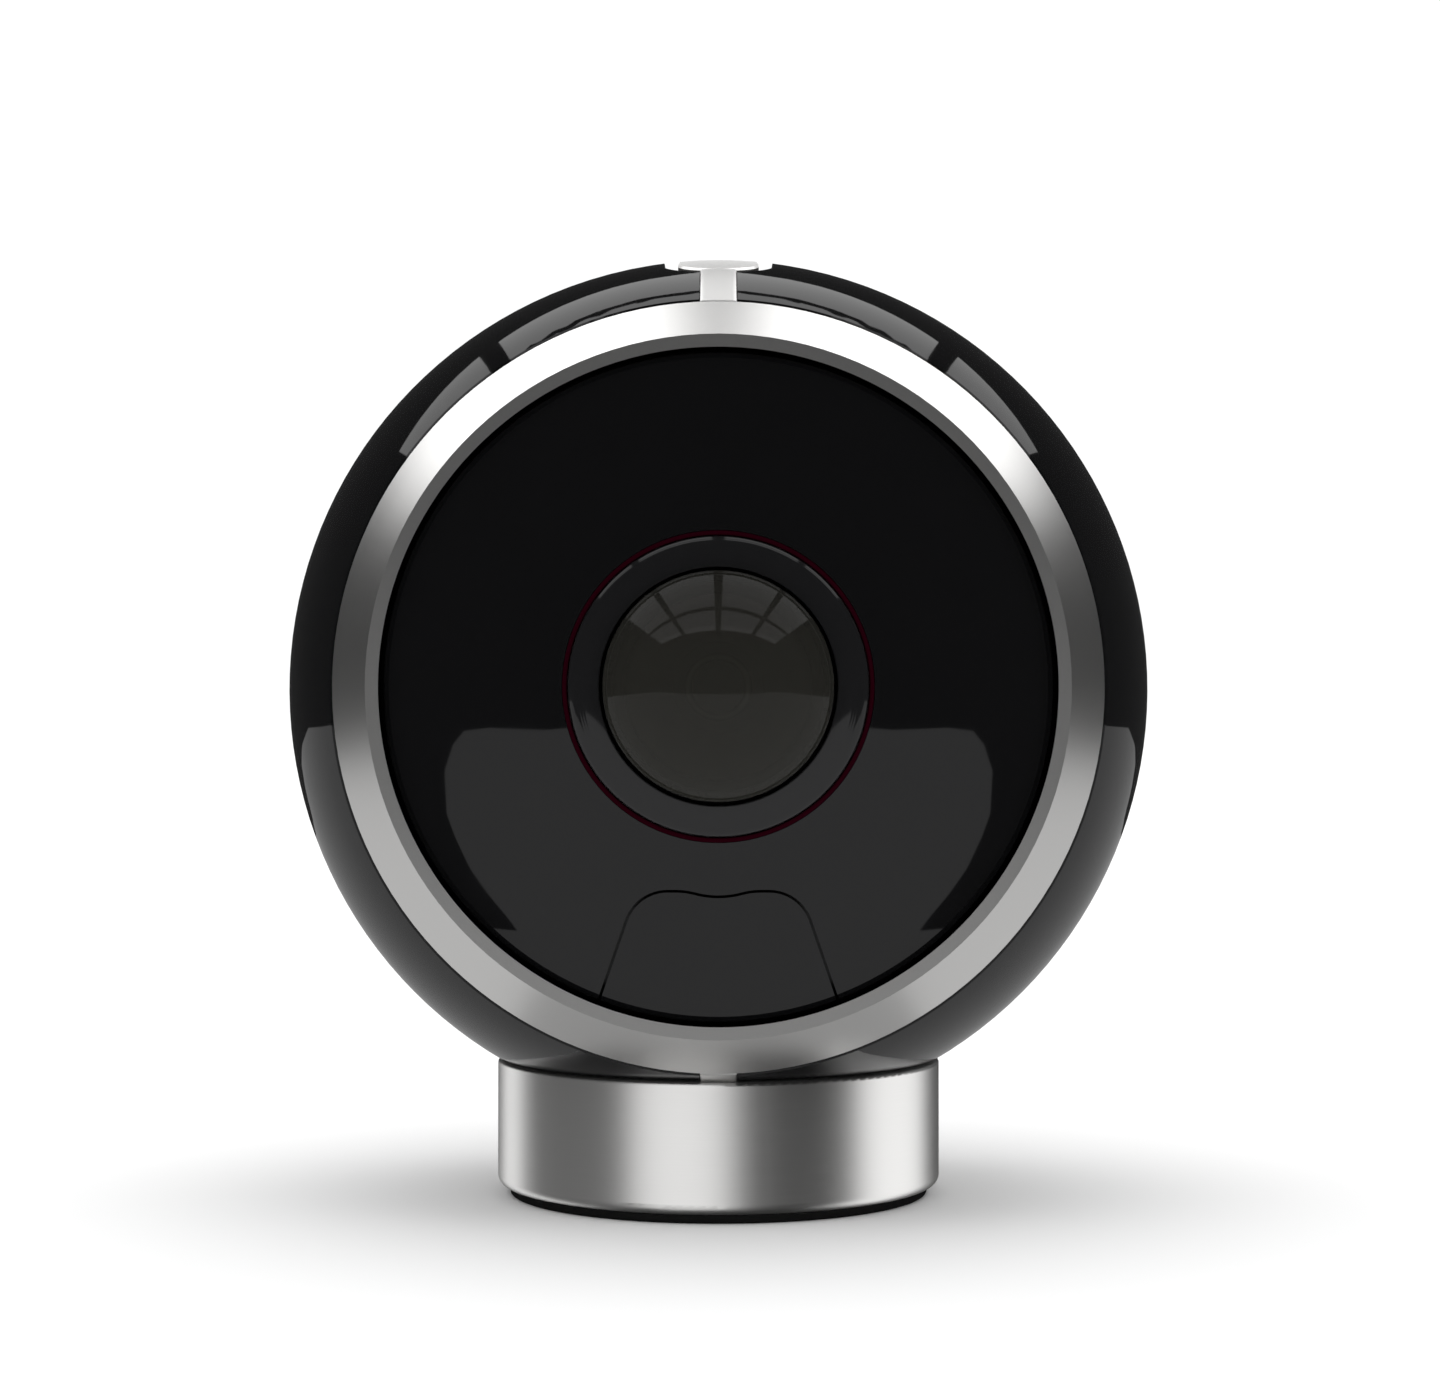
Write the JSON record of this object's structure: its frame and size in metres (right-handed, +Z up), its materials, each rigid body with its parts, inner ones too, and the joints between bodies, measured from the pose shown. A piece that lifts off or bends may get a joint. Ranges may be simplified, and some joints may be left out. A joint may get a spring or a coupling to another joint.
{
  "type": "security camera",
  "caption": "Round ball camera with a fisheye lens on each face, black shells between metal rings, a top button bar, and a short steel base that it turns on.",
  "frame": {"origin": "middle of the foot, on the surface the camera stands on", "axes": "+Z up, the front lens looks along -Y, +X to the right seen from the front"},
  "size_m": [0.084, 0.078, 0.0914],
  "materials": {
    "brushed_steel": "vertically lit, finely brushed round the cylinder",
    "black_plastic": "satin moulded",
    "rubber": "matt",
    "cast_iron": "as cast",
    "brass": "machined",
    "white_acetal": "satin",
    "screw_steel": "plated",
    "socket_steel": "stamped sheet",
    "circuit_board": "solder resist",
    "gloss_black": "piano gloss",
    "blasted_metal": "bead blasted",
    "red_accent": "dark red",
    "grey_collar": "fine turned, dark grey",
    "dome_glass": "coated glass",
    "inner_glass": "coated glass",
    "lens_black": "matt black",
    "sensor_chip": "glazed chip",
    "chassis_metal": "die cast",
    "heat_sink_metal": "black anodised",
    "spring_steel": "blued",
    "card_plastic": "moulded"
  },
  "bodies": {
    "base": {"ballast_ring": "cast_iron", "base_plate": "black_plastic", "base_screws": "screw_steel", "base_shell": "brushed_steel", "foot_pad": "rubber", "friction_washer": "white_acetal", "power_socket": "socket_steel", "socket_board": "circuit_board", "swivel_bush": "white_acetal", "tripod_nut": "brass"},
    "head": {"board_screws": "screw_steel", "body_screws": "screw_steel", "button_board": "circuit_board", "button_switch": "lens_black", "card_socket": "socket_steel", "chassis": "chassis_metal", "front_accent_ring": "red_accent", "front_bezel": "gloss_black", "front_bottom_strip": "blasted_metal", "front_dome_glass": "dome_glass", "front_image_sensor": "sensor_chip", "front_inner_lens": "inner_glass", "front_lens_barrel": "lens_black", "front_lens_collar": "grey_collar", "front_lens_screws": "screw_steel", "front_ring": "blasted_metal", "front_sensor_board": "circuit_board", "front_top_strip": "blasted_metal", "heat_sink": "heat_sink_metal", "left_shell": "gloss_black", "main_board": "circuit_board", "port_board": "circuit_board", "radio_board": "circuit_board", "rear_accent_ring": "red_accent", "rear_bezel": "gloss_black", "rear_bottom_strip": "blasted_metal", "rear_dome_glass": "dome_glass", "rear_image_sensor": "sensor_chip", "rear_inner_lens": "inner_glass", "rear_lens_barrel": "lens_black", "rear_lens_collar": "grey_collar", "rear_lens_screws": "screw_steel", "rear_ring": "blasted_metal", "rear_sensor_board": "circuit_board", "rear_top_strip": "blasted_metal", "retaining_clip": "spring_steel", "right_shell": "gloss_black", "spigot_screws": "screw_steel", "swivel_spigot": "chassis_metal"},
    "button": {"button_clip": "spring_steel", "top_button": "blasted_metal"},
    "port_cover": {"port_cover": "gloss_black"},
    "memory_card": {"memory_card": "card_plastic"}
  },
  "joints": [
    {"name": "head_turn", "type": "hinge", "parent": "base", "child": "head", "pos_m": [0, 0, 0.0131], "axis": [0, 0, 1], "range_deg": [-165, 165]},
    {"name": "button_press", "type": "slide", "parent": "head", "child": "button", "axis": [0, 0, -1], "range_m": [0, 0.0007], "stiffness_N_per_m": 2500},
    {"name": "cover_pull", "type": "slide", "parent": "head", "child": "port_cover", "axis": [0, -1, 0], "range_m": [0, 0.006]},
    {"name": "card_click", "type": "slide", "parent": "head", "child": "memory_card", "axis": [0, 1, 0], "range_m": [0, 0.0008], "stiffness_N_per_m": 1500}
  ]
}
